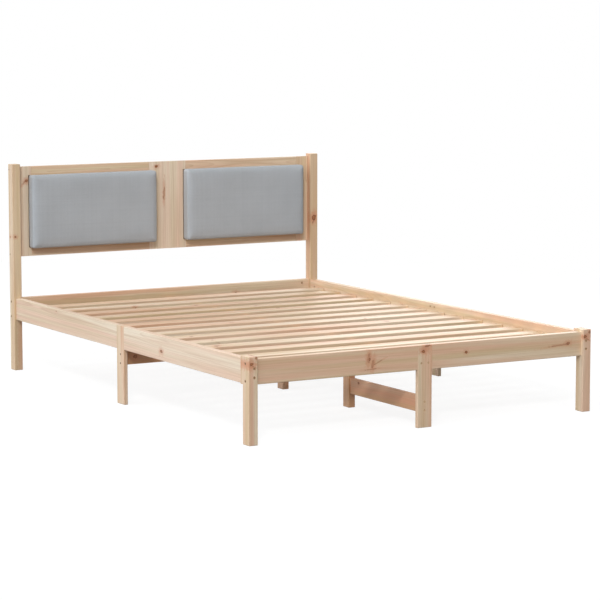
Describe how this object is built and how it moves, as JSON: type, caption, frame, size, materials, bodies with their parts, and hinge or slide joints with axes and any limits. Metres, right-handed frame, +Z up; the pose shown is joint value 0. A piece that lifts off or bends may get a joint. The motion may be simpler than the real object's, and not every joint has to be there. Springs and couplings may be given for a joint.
{
  "type": "bed frame",
  "caption": "Light pine bed frame with a slatted deck, short foot posts, tall head posts and grey upholstered headboard pads.",
  "frame": {"origin": "on the floor under the middle of the bed frame's outer outline", "axes": "+Z up, +Y towards the head end, +X towards the right side seen from the foot"},
  "size_m": [1.484, 2.096, 0.872],
  "materials": {
    "pine": "clear satin lacquer on knotty pine",
    "slat_pine": "planed pine",
    "plywood": "raw plywood",
    "dowel_beech": "plain beech dowel",
    "pad_fabric": "plain woven light grey upholstery",
    "zinc_steel": "zinc plated"
  },
  "bodies": {
    "root": {"head_post_left": "pine", "head_post_right": "pine", "foot_post_left": "pine", "foot_post_right": "pine", "headboard_top_rail_left": "pine", "headboard_top_rail_right": "pine", "headboard_bottom_rail_left": "pine", "headboard_bottom_rail_right": "pine", "headboard_stile_left": "pine", "headboard_stile_right": "pine", "headboard_center_stile": "pine", "panel_backing_left": "plywood", "panel_backing_right": "plywood", "panel_pad_left": "pad_fabric", "panel_pad_right": "pad_fabric", "head_rail": "pine", "foot_rail": "pine", "side_rail_left": "pine", "side_rail_right": "pine", "slat_ledger_left": "slat_pine", "slat_ledger_right": "slat_pine", "center_beam": "pine", "center_leg_head": "pine", "center_leg_middle": "pine", "center_leg_foot": "pine", "foot_middle_leg": "pine", "stretcher": "pine", "cross_board": "pine", "mid_leg_left": "pine", "mid_leg_right": "pine", "slat_01": "slat_pine", "slat_02": "slat_pine", "slat_03": "slat_pine", "slat_04": "slat_pine", "slat_05": "slat_pine", "slat_06": "slat_pine", "slat_07": "slat_pine", "slat_08": "slat_pine", "slat_09": "slat_pine", "slat_10": "slat_pine", "slat_11": "slat_pine", "slat_12": "slat_pine", "slat_13": "slat_pine", "slat_14": "slat_pine", "beam_brackets": "zinc_steel", "head_rail_bolts": "zinc_steel", "foot_rail_bolts": "zinc_steel", "side_rail_head_bolts": "zinc_steel", "side_rail_foot_bolts": "zinc_steel", "barrel_nuts": "zinc_steel", "headboard_screws": "zinc_steel", "headboard_dowels": "dowel_beech", "panel_screws": "zinc_steel", "ledger_screws": "zinc_steel", "slat_screws": "zinc_steel", "bracket_screws": "zinc_steel", "center_leg_screws": "zinc_steel", "cross_board_screws": "zinc_steel", "housing_screws": "zinc_steel", "stretcher_screws": "zinc_steel"}
  },
  "joints": []
}
